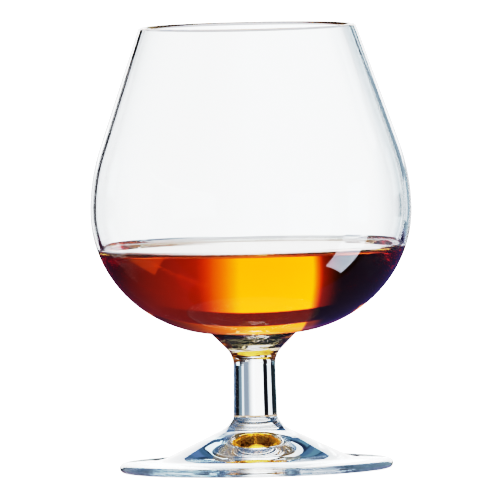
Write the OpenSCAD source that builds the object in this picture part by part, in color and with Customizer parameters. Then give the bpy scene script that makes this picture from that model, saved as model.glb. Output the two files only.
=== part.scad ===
// Brandy snifter: a blown bowl fused to a pressed stem and foot, with a measure of brandy in it.
// Every piece is turned about +Z. The origin is at the middle of the foot's resting face.
// All lengths are in millimetres and all angles are in degrees.

/* [Bowl] */
// Height of the whole glass, from the table to the rim
glass_h = 112; // [107:0.5:124]
// Outside diameter of the bowl at its widest ring
belly_d = 80.9; // [75:0.1:87]
// Height of the widest ring above the table
belly_z = 65.4; // [61:0.2:70]
// Outside diameter of the mouth
mouth_d = 54.9; // [46:0.1:64]
// Radius of the profile arc above the widest ring
shoulder_arc_r = 50; // [42:0.5:58]
// Half-width of the elliptical curve below the widest ring
base_run = 32.7; // [29:0.1:36]
// Depth of that curve, from the widest ring to its lowest point
base_drop = 31; // [27:0.1:34]
// Thickness of the bowl's wall and rim
wall = 1.5; // [0.9:0.1:2.4]
// Thickness of the glass under the brandy, at the axis
bowl_floor = 2.4; // [1.4:0.1:4]

/* [Stem] */
// Diameter of the stem's head, where it is fused to the bowl
head_d = 21.6; // [18:0.2:25]
// Diameter of the stem at its narrowest
waist_d = 10.5; // [8.5:0.1:13]
// Diameter of the stem's toe, where it is fused to the foot
toe_d = 11; // [9:0.1:14]
// Slope of the cone under the head, from upright
head_slope = 45; // [35:1:55]
// Radius of the hollow curve that runs from that cone to the straight stem
head_arc_r = 6; // [4:0.1:8]

/* [Foot] */
// Diameter of the foot
foot_d = 68.8; // [62:0.2:78]
// Height of the foot's boss, where the stem is fused to it
boss_z = 13.5; // [11.5:0.1:16]
// Thickness of the foot's rounded edge
foot_edge = 2.2; // [1.4:0.1:3]
// Radius of the hollow curve that runs from the boss to the cone
flare_arc_r = 7; // [5:0.1:9]
// Slope of the flare at the boss
flare_slope = 67; // [55:1:80]
// Slope of the foot's cone
cone_slope = 25.8; // [22:0.1:30]
// Radius of the hollow curve that runs from the cone to the brim
brim_arc_r = 14; // [6:0.5:20]
// Slope of the flat brim
brim_slope = 3; // [0:0.5:6]
// Width of the flat ring that the glass stands on
rest_ring_w = 4.5; // [2:0.1:6]
// Slope of the hollow cone under the foot
kick_slope = 13.5; // [10:0.1:16]
// Radius of the hollow cone's rounded top
kick_arc_r = 24; // [10:0.5:40]

/* [Brandy] */
// Height of the brandy's level surface above the table
fill_z = 55.5; // [44:0.1:59]
// How far the brandy climbs the wall above its level surface
meniscus_h = 1.3; // [0.6:0.1:2]
// Distance from the wall over which the climb fades by two thirds
meniscus_fade = 1.3; // [0.6:0.1:2]
// Gap between the brandy and the glass, which lets it turn
swirl_gap = 0.15; // [0.1:0.05:0.4]

/* [Hidden] */

// Largest turn between two points of a long arc, and of the small round edges
arc_step = 3;
edge_step = 15;
// Facets of a full turn in the preview
$fn = 96;

// Least height of straight glass that the shoulder's arc and the stem's head leave beside them
straight_h = 1;

// Points of the meniscus curve, and how many fades wide it is
meniscus_points = 12;
meniscus_fades = 4;

// Radii
belly_r = belly_d / 2;
mouth_r = mouth_d / 2;
rim_r = wall / 2;
head_r = head_d / 2;
waist_r = waist_d / 2;
toe_r = toe_d / 2;
foot_r = foot_d / 2;
edge_r = foot_edge / 2;

// Bowl, outside: centre of the rounded rim, and how far in and up it lies from the widest ring's wall
rim_c = [mouth_r - rim_r, glass_h - rim_r];
rim_in = belly_r - rim_r - rim_c.x;
rim_up = rim_c.y - belly_z;
// Radius of the shoulder's arc, limited by the wall that it turns into, and the centres of the two
// curves that meet at the widest ring
shoulder_r = min(shoulder_arc_r, rim_r + upright_arc_r(rim_in, rim_up - straight_h));
shoulder_c = [belly_r - shoulder_r, belly_z];
base_c = [belly_r - base_run, belly_z];
// Turn of the base curve from the widest ring to the weld, and the height of the weld face there
weld_turn = acos((head_r - base_c.x) / base_run);
weld_z = belly_z - base_drop * sin(weld_turn);
// Lean of the straight wall that runs from the shoulder's arc to the rim
rim_reach = rim_c - shoulder_c;
wall_lean = atan2(rim_reach.y, rim_reach.x) - acos((shoulder_r - rim_r) / norm(rim_reach));

// Bowl, inside: the glass thickens steadily from the wall to the floor
floor_z = weld_z + bowl_floor;
hollow_run = base_run - wall;
hollow_drop = belly_z - floor_z;

// Stem: height that the head's cone would take down to the waist, and the radius of the hollow curve under
// it, limited by the stem's length. Then the height where the straight stem starts
head_drop = (head_r - waist_r) / tan(head_slope);
hollow_r = min(head_arc_r, (weld_z - boss_z - straight_h - head_drop) / tan(head_slope / 2));
waist_z = weld_z - head_drop - hollow_r * tan(head_slope / 2);
head_c = [waist_r + hollow_r, waist_z];

// Foot: flare, then cone, then brim, then the rounded edge
flare_c = [toe_r, boss_z] + flare_arc_r * up_normal(flare_slope);
cone_start = flare_c - flare_arc_r * up_normal(cone_slope);
edge_c = [foot_r - edge_r, edge_r];
brim_end = edge_c + edge_r * up_normal(brim_slope);
// Corner where the cone's line would cross the brim's line, and the tangent length of its curve
corner_run = (cone_start.y - brim_end.y - (brim_end.x - cone_start.x) * tan(brim_slope))
    / (tan(cone_slope) - tan(brim_slope));
corner = cone_start + corner_run * [1, -tan(cone_slope)];
corner_tangent = brim_arc_r * tan((cone_slope - brim_slope) / 2);
brim_c = corner + corner_tangent * [-cos(cone_slope), sin(cone_slope)] + brim_arc_r * up_normal(cone_slope);
// Hollow under the foot: a cone with a rounded top
rest_in_r = foot_r - edge_r - rest_ring_w;
kick_c = [0, rest_in_r * tan(kick_slope) - kick_arc_r / cos(kick_slope)];

// Brandy: the bowl's hollow less the gap, up to the ring where the meniscus meets the wall
pool_run = hollow_run - swirl_gap;
pool_drop = hollow_drop - swirl_gap;
pool_top_z = fill_z + meniscus_h;
pool_turn = asin((belly_z - pool_top_z) / pool_drop);
pool_r = base_c.x + pool_run * cos(pool_turn);

// Unit vector square to a line that falls outwards at this slope, on its upper side
function up_normal(slope) = [sin(slope), cos(slope)];

// Radius of the arc that starts upright and runs this far sideways over this rise
function upright_arc_r(run, rise) = (run * run + rise * rise) / (2 * run);

// Points of an ellipse of these half-axes from one angle to another, no more than step apart
function ellipse(c, run, drop, from, to, step = arc_step) =
    let (n = max(1, ceil(abs(to - from) / step)))
    [for (i = [0:n]) let (a = from + (to - from) * i / n) c + [run * cos(a), drop * sin(a)]];

// Points of an arc, in the same way
function arc(c, r, from, to, step = arc_step) = ellipse(c, r, r, from, to, step);

// Points of a hollow curve that falls outwards from one slope to another
function hollow_curve(c, r, from, to) = arc(c, r, 270 - from, 270 - to);

// Points of the brandy's edge, from the wall in to the level surface: the climb fades exponentially
function meniscus() =
    let (least = exp(-meniscus_fades))
    [for (i = [1:meniscus_points])
        let (u = meniscus_fades * i / meniscus_points)
        [pool_r - u * meniscus_fade, fill_z + meniscus_h * (exp(-u) - least) / (1 - least)]];

// Solid turned about +Z from an outline of [radius, height] points
module turned(outline) {
    rotate_extrude() polygon(outline);
}

// Blown bowl: wall, rounded rim and a flat weld face under the floor
module bowl() {
    color([0.87, 0.93, 0.94, 0.35])
        turned(concat(
            [[0, weld_z]],
            ellipse(base_c, base_run, base_drop, -weld_turn, 0),
            arc(shoulder_c, shoulder_r, 0, wall_lean),
            arc(rim_c, rim_r, wall_lean, wall_lean + 180, edge_step),
            arc(shoulder_c, shoulder_r - wall, wall_lean, 0),
            ellipse(base_c, hollow_run, hollow_drop, 0, -90),
            [[0, floor_z]]
        ));
}

// Pressed stem: conical head, narrow waist and a slight taper to the toe
module stem() {
    color([0.87, 0.93, 0.94, 0.35])
        turned(concat(
            [[0, boss_z], [toe_r, boss_z]],
            arc(head_c, hollow_r, 180, 180 - head_slope),
            [[head_r, weld_z], [0, weld_z]]
        ));
}

// Pressed foot: boss, cone, brim, rounded edge, resting ring and the hollow under it
module foot() {
    color([0.87, 0.93, 0.94, 0.35])
        turned(concat(
            [[0, boss_z]],
            hollow_curve(flare_c, flare_arc_r, flare_slope, cone_slope),
            hollow_curve(brim_c, brim_arc_r, cone_slope, brim_slope),
            arc(edge_c, edge_r, 90 - brim_slope, -90, edge_step),
            [[rest_in_r, 0]],
            arc(kick_c, kick_arc_r, 90 - kick_slope, 90)
        ));
}

// Brandy: fills the bottom of the bowl, with a level surface that climbs a little at the wall
module brandy() {
    color([0.80, 0.38, 0.05, 0.85])
        turned(concat(
            [[0, floor_z + swirl_gap]],
            ellipse(base_c, pool_run, pool_drop, -90, -pool_turn),
            meniscus(),
            [[0, fill_z]]
        ));
}

bowl();
stem();
foot();
brandy();
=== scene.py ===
import bpy
import numpy as np
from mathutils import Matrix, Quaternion, Vector


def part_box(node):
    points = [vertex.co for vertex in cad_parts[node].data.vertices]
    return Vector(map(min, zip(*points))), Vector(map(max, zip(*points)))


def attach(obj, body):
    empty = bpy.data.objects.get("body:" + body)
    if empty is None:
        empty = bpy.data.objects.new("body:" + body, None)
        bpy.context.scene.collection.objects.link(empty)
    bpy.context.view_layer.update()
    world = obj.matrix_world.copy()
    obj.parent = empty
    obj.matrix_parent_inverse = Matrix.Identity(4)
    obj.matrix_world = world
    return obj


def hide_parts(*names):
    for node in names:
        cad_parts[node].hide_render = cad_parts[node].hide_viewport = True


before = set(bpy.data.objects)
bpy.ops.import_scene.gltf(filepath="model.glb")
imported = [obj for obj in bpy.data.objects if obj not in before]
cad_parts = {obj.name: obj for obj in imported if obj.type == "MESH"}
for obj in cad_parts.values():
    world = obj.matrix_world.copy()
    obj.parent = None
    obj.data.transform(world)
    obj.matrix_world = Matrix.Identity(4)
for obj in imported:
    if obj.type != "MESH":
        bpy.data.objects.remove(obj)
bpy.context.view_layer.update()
scene = bpy.context.scene

# Bowl
# Thin blown bowl of soda-lime glass, turned in a wetted mould, cracked off and fire polished at the rim.
# Its floor is thicker than its wall, and it is fused hot to the stem's head.

MM = 0.001
bowl_low, bowl_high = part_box("bowl")
belly_r = bowl_high.x
rim_z = bowl_high.z
weld_z = bowl_low.z
weld_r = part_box("stem")[1].x
belly_z = 65.4 * MM
mouth_r = 54.9 / 2 * MM
shoulder_r = 50 * MM
base_run = 32.7 * MM
base_drop = 31 * MM
wall = 1.5 * MM
floor_z = weld_z + 2.4 * MM
wet_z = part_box("brandy")[1].z

AROUND = 256
LONG_STEP = 1.5
EDGE_STEP = 7.5
SHARP_TURN = 6


def arc(centre, run, rise, start, stop, step):
    """Points on an ellipse: centre + (run cos a, rise sin a), with a from start to stop in even steps of
    at most step degrees. The columns are radius and height."""
    count = int(np.ceil(abs(stop - start) / step))
    turn = np.radians(np.linspace(start, stop, count + 1))
    return np.column_stack((centre[0] + run * np.cos(turn), centre[1] + rise * np.sin(turn)))


def line(*points):
    """Straight stretches through these (radius, height) points."""
    return np.array(points)


def turned(name, *runs):
    """Solid turned about +Z from an outline that starts and ends on the axis. Its point k becomes the
    ring (r cos t, r sin t, z), with t over a full turn, and its two ends become poles. Each run is a
    material and the points of one smooth stretch, which starts where the last one ended. The ring between
    two runs is a sharp edge where the outline turns by more than SHARP_TURN degrees."""
    outline = np.concatenate([points[min(k, 1):] for k, (_, points) in enumerate(runs)])
    spans = np.array([len(points) - 1 for _, points in runs])
    radius, height = outline[1:-1].T
    count = len(radius)
    turn = np.linspace(0, 2 * np.pi, AROUND, endpoint=False)
    rings = np.stack((np.outer(radius, np.cos(turn)), np.outer(radius, np.sin(turn)),
                      np.outer(height, np.ones(AROUND))), axis=-1).reshape(-1, 3)
    poles = np.array([[0, 0, outline[0, 1]], [0, 0, outline[-1, 1]]])
    here = np.arange(AROUND)
    after = np.roll(here, -1)
    row = AROUND * np.arange(count - 1)[:, None]
    quads = np.stack((row + here, row + after, row + AROUND + after, row + AROUND + here), axis=-1)
    last = AROUND * (count - 1)
    low_fan = np.stack((np.full(AROUND, AROUND * count), after, here), axis=-1)
    high_fan = np.stack((last + here, last + after, np.full(AROUND, AROUND * count + 1)), axis=-1)
    mesh = bpy.data.meshes.new(name)
    mesh.from_pydata(np.concatenate((rings, poles)), [],
                     low_fan.tolist() + quads.reshape(-1, 4).tolist() + high_fan.tolist())

    materials = list(dict.fromkeys(material for material, _ in runs))
    for material in materials:
        mesh.materials.append(material)
    slots = np.repeat([materials.index(material) for material, _ in runs], spans)
    mesh.polygons.foreach_set("material_index", np.repeat(slots, AROUND))

    steps = np.diff(outline, axis=0)
    heading = np.degrees(np.arctan2(steps[:, 1], steps[:, 0]))
    joins = np.cumsum(spans)[:-1]
    bend = np.abs((heading[joins] - heading[joins - 1] + 180) % 360 - 180)
    ends = np.empty(2 * len(mesh.edges), dtype=np.int32)
    mesh.edges.foreach_get("vertices", ends)
    ring = ends.reshape(-1, 2) // AROUND + 1
    sharp = (ring[:, 0] == ring[:, 1]) & np.isin(ring[:, 0], joins[bend > SHARP_TURN])
    mesh.shade_smooth()
    mesh.edges.foreach_set("use_edge_sharp", sharp)
    piece = bpy.data.objects.new(name, mesh)
    scene.collection.objects.link(piece)
    return piece


def linear(colour):
    """Linear RGBA of an sRGB hex colour: c / 12.92 up to 0.04045, ((c + 0.055) / 1.055) ** 2.4 above."""
    srgb = np.array([int(colour[k:k + 2], 16) for k in (1, 3, 5)]) / 255
    rgb = np.where(srgb <= 0.04045, srgb / 12.92, ((srgb + 0.055) / 1.055) ** 2.4)
    return *rgb.tolist(), 1.0


def add_node(tree, kind, inputs=None, **settings):
    """A node of this kind with these settings. An input is a constant, or the output linked to it."""
    node = tree.nodes.new(kind)
    for name, value in settings.items():
        setattr(node, name, value)
    for name, value in (inputs or {}).items():
        if isinstance(value, bpy.types.NodeSocket):
            tree.links.new(value, node.inputs[name])
        else:
            node.inputs[name].default_value = value
    return node


def new_material(name):
    """An empty node material of this name, its node tree and its output node."""
    material = bpy.data.materials.new(name)
    material.use_nodes = True
    material.node_tree.nodes.clear()
    return material, material.node_tree, add_node(material.node_tree, "ShaderNodeOutputMaterial")


GLASS_IOR = 1.52
BRANDY_IOR = 1.36


def clear_glass(name, tint, stretch, wave, swell, ior, mirror=1.0):
    """Clear soda-lime glass: mirror parts of a surface that bends and reflects light, and 1 - mirror parts
    of one that only bends it. Noise of size wave and height swell is the slow swell that the hot surface
    keeps, so that straight edges behind it waver a little. stretch scales its X, Y and Z."""
    material, tree, out = new_material(name)
    point = add_node(tree, "ShaderNodeTexCoord").outputs["Object"]
    along = add_node(tree, "ShaderNodeMapping", {"Vector": point, "Scale": stretch})
    noise = add_node(tree, "ShaderNodeTexNoise", {
        "Vector": along.outputs["Vector"], "Scale": 1 / wave, "Detail": 1.0, "Roughness": 0.4})
    bump = add_node(tree, "ShaderNodeBump", {"Height": noise.outputs["Fac"], "Distance": swell})
    glass = add_node(tree, "ShaderNodeBsdfPrincipled", {
        "Base Color": linear(tint), "Roughness": 0.0, "IOR": ior, "Transmission Weight": 1.0,
        "Normal": bump.outputs["Normal"]})
    bent = add_node(tree, "ShaderNodeBsdfRefraction", {
        "Color": linear(tint), "Roughness": 0.0, "IOR": ior, "Normal": bump.outputs["Normal"]})
    surface = add_node(tree, "ShaderNodeMixShader", {
        "Fac": mirror, 1: bent.outputs["BSDF"], 2: glass.outputs["BSDF"]})
    tree.links.new(surface.outputs["Shader"], out.inputs["Surface"])
    return material


# Turning in the mould draws the swell out along the bowl's rings
TURN_MARKS = (0.25, 0.25, 1.0)
BLOWN_TINT = "#FBFDFD"
BLOWN_WAVE = 14 * MM
BLOWN_SWELL = 0.006 * MM
# Under the brandy a face parts glass from brandy, not from air
WETTED_IOR = GLASS_IOR / BRANDY_IOR
# The floor's mirror images are held down, so that the stem's head looks as dark as in the photo
FLOOR_MIRROR = 0.15
blown_glass = clear_glass(
    "blown soda-lime glass, fire polished", BLOWN_TINT, TURN_MARKS, BLOWN_WAVE, BLOWN_SWELL, GLASS_IOR)
wetted_glass = clear_glass(
    "blown soda-lime glass, wetted by brandy", BLOWN_TINT, TURN_MARKS, BLOWN_WAVE, BLOWN_SWELL, WETTED_IOR)
wetted_floor = clear_glass(
    "blown soda-lime glass, wetted by brandy, at the floor", BLOWN_TINT, TURN_MARKS, BLOWN_WAVE, BLOWN_SWELL,
    WETTED_IOR, FLOOR_MIRROR)

# A fused joint inside the glass has no surface to see
fused_joint, tree, out = new_material("fused joint inside the glass")
tree.links.new(add_node(tree, "ShaderNodeBsdfTransparent").outputs["BSDF"], out.inputs["Surface"])

shoulder_c = np.array((belly_r - shoulder_r, belly_z))
base_c = np.array((belly_r - base_run, belly_z))
rim_c = np.array((mouth_r - wall / 2, rim_z - wall / 2))
reach = rim_c - shoulder_c
rim_turn = np.arccos((shoulder_r - wall / 2) / np.linalg.norm(reach))
lean = np.degrees(np.arctan2(reach[1], reach[0]) - rim_turn)
weld_turn = np.degrees(np.arccos((weld_r - base_c[0]) / base_run))
hollow_run = base_run - wall
hollow_drop = belly_z - floor_z
wet_turn = np.degrees(np.arcsin((belly_z - wet_z) / hollow_drop))
# The wall becomes the floor where the hollow's curve has turned this far from the widest ring
floor_turn = 75

base = arc(base_c, base_run, base_drop, -weld_turn, 0, LONG_STEP)
shoulder = arc(shoulder_c, shoulder_r, shoulder_r, 0, lean, LONG_STEP)
rim = arc(rim_c, wall / 2, wall / 2, lean, lean + 180, EDGE_STEP)
inner_shoulder = arc(shoulder_c, shoulder_r - wall, shoulder_r - wall, lean, 0, LONG_STEP)
dry_hollow = arc(base_c, hollow_run, hollow_drop, 0, -wet_turn, LONG_STEP)
wet_hollow = arc(base_c, hollow_run, hollow_drop, -wet_turn, -floor_turn, LONG_STEP)
floor_curve = arc(base_c, hollow_run, hollow_drop, -floor_turn, -90, LONG_STEP)

bowl = turned(
    "blown_bowl",
    (fused_joint, line((0, weld_z), base[0])),
    (blown_glass, base),
    (blown_glass, shoulder),
    (blown_glass, line(shoulder[-1], rim[0])),
    (blown_glass, rim),
    (blown_glass, line(rim[-1], inner_shoulder[0])),
    (blown_glass, inner_shoulder),
    (blown_glass, dry_hollow),
    (wetted_glass, wet_hollow),
    (wetted_floor, floor_curve),
    (wetted_floor, line(floor_curve[-1], (0, floor_z))))
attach(bowl, "glass")
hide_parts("bowl")

# Stem
# Solid stem of pressed soda-lime glass. Its head is a cone under the bowl, and its toe is fused to the
# foot's boss. The mould leaves a slow swell on its skin.

boss_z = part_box("foot")[1].z
waist_r = 10.5 / 2 * MM
toe_r = 11 / 2 * MM
head_slope = 45
head_arc_r = 6 * MM
PRESSED_TINT = "#F6FAFB"
EVEN = (1.0, 1.0, 1.0)
PRESSED_WAVE = 12 * MM
PRESSED_SWELL = 0.02 * MM
pressed_glass = clear_glass(
    "pressed soda-lime glass, fire polished", PRESSED_TINT, EVEN, PRESSED_WAVE, PRESSED_SWELL, GLASS_IOR)
# The fusing flame leaves fine rings round the head
RINGS = (0.1, 0.1, 1.0)
RING_WAVE = 1.2 * MM
RING_SWELL = 0.6 * MM
rippled_glass = clear_glass(
    "pressed soda-lime glass, rippled by the fusing flame", PRESSED_TINT, RINGS, RING_WAVE, RING_SWELL,
    GLASS_IOR)

head_drop = (weld_r - waist_r) / np.tan(np.radians(head_slope))
waist_z = weld_z - head_drop - head_arc_r * np.tan(np.radians(head_slope / 2))
head = arc((waist_r + head_arc_r, waist_z), head_arc_r, head_arc_r, 180, 180 - head_slope, LONG_STEP)
stem = turned(
    "pressed_stem",
    (fused_joint, line((0, boss_z), (toe_r, boss_z))),
    (pressed_glass, line((toe_r, boss_z), head[0])),
    (rippled_glass, head),
    (rippled_glass, line(head[-1], (weld_r, weld_z))),
    (fused_joint, line((weld_r, weld_z), (0, weld_z))))
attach(stem, "glass")
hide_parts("stem")

# Foot
# Round foot of pressed soda-lime glass: a boss that flares into a cone, then a flat brim with a rounded
# edge. It stands on a narrow ring round a hollow cone, which keeps its glass even and off the table.

foot_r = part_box("foot")[1].x
edge_r = 2.2 / 2 * MM
flare_r = 7 * MM
flare_slope = 67
cone_slope = 25.8
brim_arc_r = 14 * MM
brim_slope = 3
rest_ring_w = 4.5 * MM
kick_slope = 13.5
kick_arc_r = 24 * MM


def up_normal(slope):
    """Unit vector square to a line that falls outwards at this slope: (sin s, cos s)."""
    return np.array((np.sin(np.radians(slope)), np.cos(np.radians(slope))))


def fall(slope):
    """Height lost for each unit outwards on a line of this slope: tan s."""
    return np.tan(np.radians(slope))


flare_c = np.array((toe_r, boss_z)) + flare_r * up_normal(flare_slope)
cone_start = flare_c - flare_r * up_normal(cone_slope)
edge_c = np.array((foot_r - edge_r, edge_r))
brim_end = edge_c + edge_r * up_normal(brim_slope)
brim_rise = cone_start[1] - brim_end[1] - (brim_end[0] - cone_start[0]) * fall(brim_slope)
corner = cone_start + brim_rise / (fall(cone_slope) - fall(brim_slope)) * np.array((1, -fall(cone_slope)))
cone_along = np.array((np.cos(np.radians(cone_slope)), -np.sin(np.radians(cone_slope))))
brim_tangent = brim_arc_r * fall((cone_slope - brim_slope) / 2)
brim_c = corner - brim_tangent * cone_along + brim_arc_r * up_normal(cone_slope)
rest_in_r = foot_r - edge_r - rest_ring_w
kick_c = (0, rest_in_r * fall(kick_slope) - kick_arc_r / np.cos(np.radians(kick_slope)))

kick = arc(kick_c, kick_arc_r, kick_arc_r, 90, 90 - kick_slope, LONG_STEP / 2)
edge = arc(edge_c, edge_r, edge_r, -90, 90 - brim_slope, EDGE_STEP)
brim = arc(brim_c, brim_arc_r, brim_arc_r, 270 - brim_slope, 270 - cone_slope, LONG_STEP)
flare = arc(flare_c, flare_r, flare_r, 270 - cone_slope, 270 - flare_slope, LONG_STEP)
foot = turned(
    "pressed_foot",
    (pressed_glass, kick),
    (pressed_glass, line(kick[-1], (rest_in_r, 0))),
    (pressed_glass, line((rest_in_r, 0), edge[0])),
    (pressed_glass, edge),
    (pressed_glass, line(edge[-1], brim[0])),
    (pressed_glass, brim),
    (pressed_glass, line(brim[-1], flare[0])),
    (pressed_glass, flare),
    (fused_joint, line(flare[-1], (0, boss_z))))
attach(foot, "glass")
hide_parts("foot")

# Brandy
# A double measure of brandy: clear deep amber, which swallows blue at once and green within a few
# centimetres. It wets the bowl, so its level surface climbs a little at the wall.

fill_z = 55.5 * MM
wall_slope = 70
LEAST_SLOPE = 0.5
MENISCUS_POINTS = 24
# The brandy's skin lies a little way inside the glass, so that no air shows between them
skin = 0.2 * MM
AMBER = "#FEE000"
AMBER_DENSITY = 115

brandy_liquid, tree, out = new_material("brandy, clear and deep amber")
wetting = add_node(tree, "ShaderNodeBsdfTransparent")
open_face = add_node(tree, "ShaderNodeBsdfPrincipled", {
    "Base Color": linear("#FFFFFF"), "Roughness": 0.0, "IOR": BRANDY_IOR, "Transmission Weight": 1.0})
point = add_node(tree, "ShaderNodeTexCoord").outputs["Object"]
level = add_node(tree, "ShaderNodeSeparateXYZ", {"Vector": point}).outputs["Z"]
at_top = add_node(tree, "ShaderNodeMath", {0: level, 1: fill_z - skin}, operation="GREATER_THAN")
surface = add_node(tree, "ShaderNodeMixShader", {
    "Fac": at_top.outputs[0], 1: wetting.outputs["BSDF"], 2: open_face.outputs["BSDF"]})
tree.links.new(surface.outputs["Shader"], out.inputs["Surface"])
absorption = add_node(tree, "ShaderNodeVolumeAbsorption", {
    "Color": linear(AMBER), "Density": AMBER_DENSITY})
tree.links.new(absorption.outputs["Volume"], out.inputs["Volume"])

pool_run = hollow_run + skin
pool_drop = hollow_drop + skin
pool_turn = np.degrees(np.arcsin((belly_z - wet_z) / pool_drop))
pool = arc(base_c, pool_run, pool_drop, -90, -pool_turn, LONG_STEP)
# A liquid that wets glass climbs it by z = 2 a sin(s / 2) where its surface slopes by s, at the distance
# a (arcosh(1 / sin(s / 2)) - 2 cos(s / 2)) from the wall, less the same at the wall
half_slope = np.radians(np.geomspace(wall_slope, LEAST_SLOPE, MENISCUS_POINTS + 1)) / 2
capillary = (wet_z - fill_z) / (2 * np.sin(half_slope[0]))
climb = 2 * capillary * np.sin(half_slope)
away = capillary * (np.arccosh(1 / np.sin(half_slope)) - 2 * np.cos(half_slope))
# Its foot is drawn down by a hair to meet the level surface
climb = climb[0] * (climb - climb[-1]) / (climb[0] - climb[-1])
meniscus = np.column_stack((pool[-1, 0] - away + away[0], fill_z + climb))
brandy = turned(
    "brandy_pool",
    (brandy_liquid, line((0, pool[0, 1]), pool[0])),
    (brandy_liquid, pool),
    (brandy_liquid, meniscus),
    (brandy_liquid, line(meniscus[-1], (0, fill_z))))
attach(brandy, "brandy")
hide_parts("brandy")

# Table
# Round sheet of opal acrylic, lit from below, which the glass stands on. It isn't part of the object, and
# it lies a hair below the foot so that no two faces share a plane.

table_r = 700 * MM
near_r = 85 * MM
table_t = 5 * MM
table_gap = 0.05 * MM


def sheet(name, material, radius, top):
    """Round sheet of this radius and of thickness table_t, with its upper face at top."""
    disc = turned(
        name,
        (material, line((0, top - table_t), (radius, top - table_t))),
        (material, line((radius, top - table_t), (radius, top))),
        (material, line((radius, top), (0, top))))
    disc.visible_glossy = False
    return disc


opal, tree, out = new_material("opal acrylic, lit from below")
glowing = add_node(tree, "ShaderNodeBsdfPrincipled", {
    "Base Color": linear("#F4F4F2"), "Roughness": 0.6, "IOR": 1.49,
    "Emission Color": linear("#FFFFFF"), "Emission Strength": 1.0})
tree.links.new(glowing.outputs["BSDF"], out.inputs["Surface"])
table = sheet("table", opal, table_r, -table_gap)
table.visible_transmission = False

# Near the glass the sheet glows in painted colours, chosen by the way a ray reaches it: pale straight through
# clear glass, a dim warm painted light through the brandy, and a painted blue shade of the glass where the
# foot mirrors it
painted_shade_sheet, tree, out = new_material("glowing sheet, painted with the glass's shade")
PALE = "#E8EEF0"
BLUE_SHADE = "#2C3C4D"
WARM_SHADE = "#7A6858"
# Numbers of a colour mix's two colours and of its result among its sockets
MIX_A, MIX_B, MIX_RESULT = 6, 7, 2
near_ray = add_node(tree, "ShaderNodeLightPath").outputs
mirrored = add_node(tree, "ShaderNodeMath", {
    0: near_ray["Glossy Depth"], 1: 0.5}, operation="GREATER_THAN").outputs[0]
in_brandy = add_node(tree, "ShaderNodeMath", {
    0: near_ray["Transparent Depth"], 1: 0.5}, operation="GREATER_THAN").outputs[0]
through_glass = add_node(tree, "ShaderNodeMix", {
    0: mirrored, MIX_A: linear(PALE), MIX_B: linear(BLUE_SHADE)}, data_type="RGBA").outputs[MIX_RESULT]
seen_near = add_node(tree, "ShaderNodeMix", {
    0: in_brandy, MIX_A: through_glass, MIX_B: linear(WARM_SHADE)}, data_type="RGBA").outputs[MIX_RESULT]
shade = add_node(tree, "ShaderNodeEmission", {"Color": seen_near, "Strength": 1.0})
tree.links.new(shade.outputs["Emission"], out.inputs["Surface"])
# This sheet only glows: the glass casts no shade on it, and its blue and warm colours are painted shade
near_table = sheet("near_table", painted_shade_sheet, near_r, -2 * table_gap)
near_table.visible_camera = False
near_table.visible_diffuse = False

# Light
# White and grey cards stand round the glass in a dark blue room, with a large soft light overhead. A
# card's edge draws a dark line in the glass, and what no card fills stays deep in the brandy. Cards close
# to the glass show differently through clear glass, through brandy and as glare, so each says where it shows.

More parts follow.
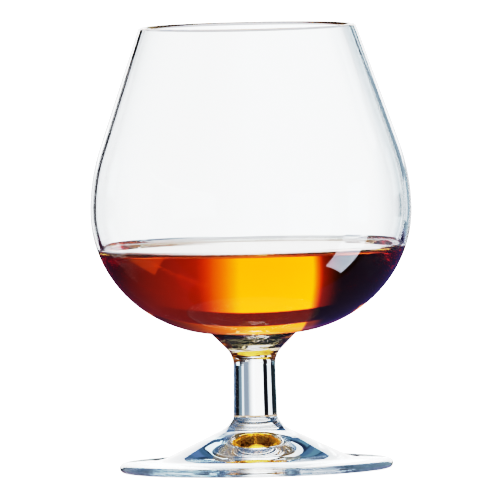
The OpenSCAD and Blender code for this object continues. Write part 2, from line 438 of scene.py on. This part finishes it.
# Each card: where it shows, bearings of its left and right edge, degrees over which each of them fades,
# heights of its lower and upper edge, its tilt, its colour and its strength. Bearings run from +Y to +X.
CARDS = (
    ("sky", "camera", -180, 180, 0, 0, -90, 90, 0, "#FFFFFF", 1.0),
    ("backdrop", "clear", -16.5, 3.2, 1, 11, -10, 34, 0, "#FBFDFF", 0.85),
    ("right wall", "clear", 0, 23, 1, 14, -10, 34, 0, "#E4F0FF", 0.12),
    ("right strip", "clear", 23.5, 27.5, 2, 2, -6, 1, 0, "#F0F8FF", 0.3),
    ("right screen", "clear", 36, 50, 2, 2, 1, 22, 0, "#BCCED6", 1.0),
    ("right screen's gap", "clear", 30, 38, 2, 2, -6, 1, 0, "#434E54", 1.0),
    ("low right screen", "clear", 36, 50, 2, 2, -14, -6, 0, "#BCCED6", 1.0),
    ("right curtain", "clear", 56, 98, 2, 4, -30, 22, 0, "#354559", 1.0),
    ("left strip", "clear", -40, -28, 1, 2, -12, 34, 0, "#F4F9FF", 0.5),
    ("left wall", "clear", -110, -50, 1, 4, 2, 60, 0, "#3A4F55", 1.0),
    ("far table", "clear", -180, 180, 0, 0, -60, -14, 0, "#F4F8FF", 0.25),
    ("near card", "brandy", -12.8, 2.5, 3, 10, -10.3, 34, 0, "#FFFFFF", 1.15),
    ("near wall", "brandy", -14, 7, 8, 60, -10.3, 34, 0, "#FFA8F0", 0.14),
    ("near gap", "brandy", -13, 30, 4, 30, -19, -10.9, 0, "#FFA8F0", 0.06),
    ("tilted card", "brandy", 18.6, 34.6, 0, 0, 5.4, 21.4, 30, "#F0F8FF", 0.08),
    ("table edge", "brandy", -13, 0, 1, 18, -34, -19, 0, "#FFFFFF", 0.8),
    ("table wall", "brandy", -16, 16, 4, 20, -34, -19, 0, "#FFFFFF", 0.1),
    ("table on the right", "brandy", 36, 80, 4, 4, -70, -20, 0, "#FFFFFF", 0.5),
    ("table on the left", "brandy", -80, -36, 4, 4, -70, -20, 0, "#FFFFFF", 0.5),
    ("left view", "all", -100, -80, 4, 4, -12, 12, 0, "#FFFFFF", 1.0),
    ("high left view", "all", -57, -37, 2, 2, -33, -18, 0, "#FFFFFF", 1.0),
    ("back view", "all", 118, 152, 4, 4, -30, 10, 0, "#FFFFFF", 1.0),
    ("overhead", "clear", -180, 180, 0, 0, 50, 90, 0, "#FFFFFF", 0.5),
    ("overhead in the brandy", "brandy", -180, 180, 0, 0, 56, 90, 0, "#FFFFFF", 0.45),
    ("side card", "glare", 83, 106, 1, 2, -45, -18, 0, "#D5DFEC", 3.0),
    ("high backdrop", "glare", -20, 20, 2, 2, 2, 26, 0, "#FFFFFF", 1.2),
    ("high wall", "glare", -60, 60, 2, 2, 26, 60, 0, "#33465C", 1.0),
    ("right side", "glare", 20, 75, 2, 4, -8, 23, 0, "#3A4F55", 1.0),
    ("low left wall", "glare", -110, 5, 4, 4, -60, -8, 0, "#3A1830", 1.0),
    ("low right wall", "glare", 5, 75, 4, 4, -60, -8, 0, "#302A4C", 1.0))
# Degrees over which a card's upper and lower edges fade, and the least over which its sides do
CARD_EDGE = 0.6
SKINS = 2
ROOM = "#0A0B10"

world = bpy.data.worlds.new("studio")
scene.world = world
world.use_nodes = True
tree = world.node_tree
tree.nodes.clear()
direction = add_node(tree, "ShaderNodeSeparateXYZ", {
    "Vector": add_node(tree, "ShaderNodeTexCoord").outputs["Generated"]}).outputs
turn_y = add_node(tree, "ShaderNodeMath", {0: direction["X"], 1: direction["Y"]}, operation="ARCTAN2")
bearing = add_node(tree, "ShaderNodeMath", {0: turn_y.outputs[0]}, operation="DEGREES").outputs[0]
turn_z = add_node(tree, "ShaderNodeMath", {0: direction["Z"]}, operation="ARCSINE")
height = add_node(tree, "ShaderNodeMath", {0: turn_z.outputs[0]}, operation="DEGREES").outputs[0]
ray = add_node(tree, "ShaderNodeLightPath").outputs
glare = add_node(tree, "ShaderNodeMath", {
    0: ray["Is Glossy Ray"], 1: ray["Is Transmission Ray"]}, operation="SUBTRACT").outputs[0]
seen = add_node(tree, "ShaderNodeMath", {0: 1.0, 1: glare}, operation="SUBTRACT").outputs[0]
# Light that comes through the brandy has crossed its skin twice, on the way in and on the way out
through = add_node(tree, "ShaderNodeMath", {
    0: ray["Transparent Depth"], 1: SKINS - 0.5}, operation="GREATER_THAN").outputs[0]
brandy_light = add_node(tree, "ShaderNodeMath", {0: seen, 1: through}, operation="MULTIPLY").outputs[0]
clear_light = add_node(tree, "ShaderNodeMath", {
    0: seen, 1: brandy_light}, operation="SUBTRACT").outputs[0]
places = {"all": seen, "clear": clear_light, "brandy": brandy_light, "glare": glare,
          "camera": ray["Is Camera Ray"]}


def slope(value, start, stop):
    """Goes from 0 to 1 as value goes from start to stop, which may be the smaller of the two."""
    ramp = add_node(tree, "ShaderNodeMapRange", {
        "Value": value, "From Min": min(start, stop), "From Max": max(start, stop),
        "To Min": float(start > stop), "To Max": float(start < stop)})
    return ramp.outputs["Result"]


def product(first, *rest):
    """The product of these values."""
    for value in rest:
        first = add_node(tree, "ShaderNodeMath", {0: first, 1: value}, operation="MULTIPLY").outputs[0]
    return first


light = add_node(tree, "ShaderNodeBackground", {"Color": linear(ROOM), "Strength": 1.0}).outputs[0]
for _, shows, left, right, left_fade, right_fade, low, high, tilt, colour, strength in CARDS:
    half_w = (right - left) / 2
    half_h = (high - low) / 2
    offset = add_node(tree, "ShaderNodeMath", {0: bearing, 1: left + half_w}, operation="SUBTRACT")
    aside = add_node(tree, "ShaderNodeMath", {
        0: offset.outputs[0], 1: 180, 2: -180}, operation="WRAP").outputs[0]
    above = add_node(tree, "ShaderNodeMath", {
        0: height, 1: low + half_h}, operation="SUBTRACT").outputs[0]
    if tilt:
        flat = add_node(tree, "ShaderNodeCombineXYZ", {"X": aside, "Y": above}).outputs["Vector"]
        turned_flat = add_node(tree, "ShaderNodeVectorRotate", {
            "Vector": flat, "Angle": np.radians(-tilt)}, rotation_type="Z_AXIS").outputs["Vector"]
        aside, above = add_node(tree, "ShaderNodeSeparateXYZ", {"Vector": turned_flat}).outputs[:2]
    across = product(slope(aside, -half_w - max(left_fade, CARD_EDGE), -half_w),
                     slope(aside, half_w + max(right_fade, CARD_EDGE), half_w))
    upward = product(slope(above, -half_h - CARD_EDGE, -half_h), slope(above, half_h + CARD_EDGE, half_h))
    mask = product(places[shows], across, across, upward, strength)
    card = add_node(tree, "ShaderNodeBackground", {"Color": linear(colour), "Strength": mask}).outputs[0]
    light = add_node(tree, "ShaderNodeAddShader", {0: light, 1: card}).outputs[0]
add_node(tree, "ShaderNodeOutputWorld", {"Surface": light})

# Steep in the shadows with a long soft shoulder, as on slide film: dark amber stays deep, bright amber goes
# to yellow, and only the backdrop reaches white. Each pair is scene light and the light shown
FILM = ((0.016, 0.025), (0.034, 0.093), (0.06, 0.2), (0.1, 0.4), (0.14, 0.57), (0.2, 0.69), (0.3, 0.79),
        (0.55, 0.9), (0.85, 0.955))
scene.view_settings.view_transform = "Standard"
scene.view_settings.use_curve_mapping = True
response = scene.view_settings.curve_mapping
for scene_light, shown in FILM:
    response.curves[3].points.new(scene_light, shown)
response.update()
scene.cycles.max_bounces = 128
scene.cycles.transmission_bounces = 128
scene.cycles.glossy_bounces = 64
scene.cycles.transparent_max_bounces = 64

# Camera
# A long lens, a little above the glass, as in the photo. It is rolled as the photo's was, which shows the
# glass leaning by about a degree.

camera_place = Vector((0, -4.5, 0.265))
camera_aim = Vector((-0.48 * MM, 0, 55.4 * MM))
# Width at the glass's axis that fills the frame
frame_span = 125.85 * MM
camera_roll = -1.25
camera_data = bpy.data.cameras.new("camera")
camera = bpy.data.objects.new("camera", camera_data)
scene.collection.objects.link(camera)
scene.camera = camera
sight = camera_aim - camera_place
camera_data.lens = camera_data.sensor_width * sight.length / frame_span
camera.location = camera_place
camera.rotation_mode = "QUATERNION"
roll = Quaternion((0, 0, 1), np.radians(camera_roll))
camera.rotation_quaternion = sight.to_track_quat("-Z", "Y") @ roll
